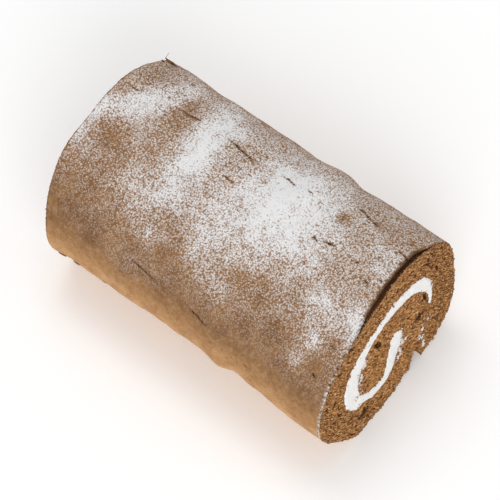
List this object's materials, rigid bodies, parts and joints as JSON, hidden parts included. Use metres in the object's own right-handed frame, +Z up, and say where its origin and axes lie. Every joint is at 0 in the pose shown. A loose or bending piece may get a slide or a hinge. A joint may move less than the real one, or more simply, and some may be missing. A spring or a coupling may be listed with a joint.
{
  "type": "rolled chocolate sponge log cake",
  "caption": "Plain yule log: a chocolate sponge sheet spread with white cream, rolled up, dusted with icing sugar and cut square at both ends.",
  "frame": {"origin": "on the surface that the cake rests on, under the middle of its box", "axes": "X along the roll towards the shown cut end, Y across the roll, Z up"},
  "size_m": [0.1554, 0.0954, 0.0673],
  "materials": {
    "sponge": "porous baked chocolate sponge, dusted with icing sugar",
    "cream": "soft white cream with a dull shine"
  },
  "bodies": {
    "root": {"sponge": "sponge", "cream": "cream"}
  },
  "joints": []
}
